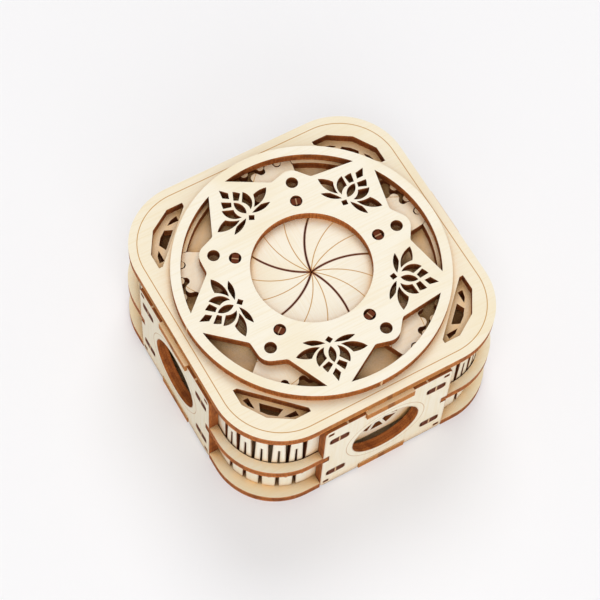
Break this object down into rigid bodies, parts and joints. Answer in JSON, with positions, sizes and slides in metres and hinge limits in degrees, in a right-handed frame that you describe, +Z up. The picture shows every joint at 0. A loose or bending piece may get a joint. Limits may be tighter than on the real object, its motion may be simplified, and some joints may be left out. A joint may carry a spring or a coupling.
{
  "type": "iris lid box",
  "caption": "Small laser-cut plywood keepsake box with kerf-bent corners, round side windows and a star lid that opens a geared iris.",
  "frame": {"origin": "middle of the underside of the bottom plate", "axes": "+Z up through the lid's axis, -Y out of the front panel, +X to the right of the front panel"},
  "size_m": [0.09, 0.09, 0.045],
  "materials": {
    "plate_birch": "unfinished laser-cut birch plywood, scorched at the edges",
    "panel_birch_y": "unfinished laser-cut birch plywood, scorched at the edges",
    "panel_birch_x": "unfinished laser-cut birch plywood, scorched at the edges",
    "grille_birch_y": "unfinished laser-cut birch plywood, scorched at the edges",
    "grille_birch_x": "unfinished laser-cut birch plywood, scorched at the edges",
    "wall_birch": "unfinished laser-cut birch plywood, scorched at the edges",
    "shelf_birch": "unfinished laser-cut birch plywood, scorched at the edges",
    "top_birch": "unfinished laser-cut birch plywood, scorched at the edges",
    "disc_birch": "unfinished laser-cut birch plywood, scorched at the edges",
    "blade_birch": "unfinished laser-cut birch plywood, scorched at the edges",
    "peg_birch": "unfinished laser-cut birch plywood, scorched at the edges"
  },
  "bodies": {
    "case": {"bottom_plate": "plate_birch", "inner_floor": "plate_birch", "upper_frame": "plate_birch", "side_panel_front": "panel_birch_y", "side_panel_right": "panel_birch_x", "side_panel_back": "panel_birch_y", "side_panel_left": "panel_birch_x", "window_grille_front": "grille_birch_y", "window_grille_right": "grille_birch_x", "window_grille_back": "grille_birch_y", "window_grille_left": "grille_birch_x", "corner_wall_front_right": "wall_birch", "corner_wall_back_right": "wall_birch", "corner_wall_back_left": "wall_birch", "corner_wall_front_left": "wall_birch", "corner_shelf_front_right": "shelf_birch", "corner_shelf_back_right": "shelf_birch", "corner_shelf_back_left": "shelf_birch", "corner_shelf_front_left": "shelf_birch", "lid_floor_plate": "plate_birch", "gear_ring_plate": "top_birch"},
    "lid": {"lid_disc": "disc_birch", "carrier_ring": "plate_birch", "retainer_ring": "plate_birch", "pivot_peg_1": "peg_birch", "pivot_peg_2": "peg_birch", "pivot_peg_3": "peg_birch", "pivot_peg_4": "peg_birch", "pivot_peg_5": "peg_birch"},
    "blade_1": {"iris_blade_1": "blade_birch"},
    "blade_2": {"iris_blade_2": "blade_birch"},
    "blade_3": {"iris_blade_3": "blade_birch"},
    "blade_4": {"iris_blade_4": "blade_birch"},
    "blade_5": {"iris_blade_5": "blade_birch"}
  },
  "joints": [
    {"name": "lid_turn", "type": "hinge", "parent": "case", "child": "lid", "pos_m": [0, 0, 0.0375], "axis": [0, 0, 1], "range_deg": [0, 21]},
    {"name": "blade_1_swing", "type": "hinge", "parent": "lid", "child": "blade_1", "pos_m": [0.02184, 0, 0.0405], "axis": [0, 0, 1], "range_deg": [-66, 4]},
    {"name": "blade_2_swing", "type": "hinge", "parent": "lid", "child": "blade_2", "pos_m": [0.00675, 0.02077, 0.0405], "axis": [0, 0, 1], "range_deg": [-66, 4]},
    {"name": "blade_3_swing", "type": "hinge", "parent": "lid", "child": "blade_3", "pos_m": [-0.01767, 0.01284, 0.0405], "axis": [0, 0, 1], "range_deg": [-66, 4]},
    {"name": "blade_4_swing", "type": "hinge", "parent": "lid", "child": "blade_4", "pos_m": [-0.01767, -0.01284, 0.0405], "axis": [0, 0, 1], "range_deg": [-66, 4]},
    {"name": "blade_5_swing", "type": "hinge", "parent": "lid", "child": "blade_5", "pos_m": [0.00675, -0.02077, 0.0405], "axis": [0, 0, 1], "range_deg": [-66, 4]}
  ],
  "couplings": [
    {"joint": "blade_1_swing", "follows": "lid_turn", "ratio": -2.5},
    {"joint": "blade_2_swing", "follows": "lid_turn", "ratio": -2.5},
    {"joint": "blade_3_swing", "follows": "lid_turn", "ratio": -2.5},
    {"joint": "blade_4_swing", "follows": "lid_turn", "ratio": -2.5},
    {"joint": "blade_5_swing", "follows": "lid_turn", "ratio": -2.5}
  ]
}
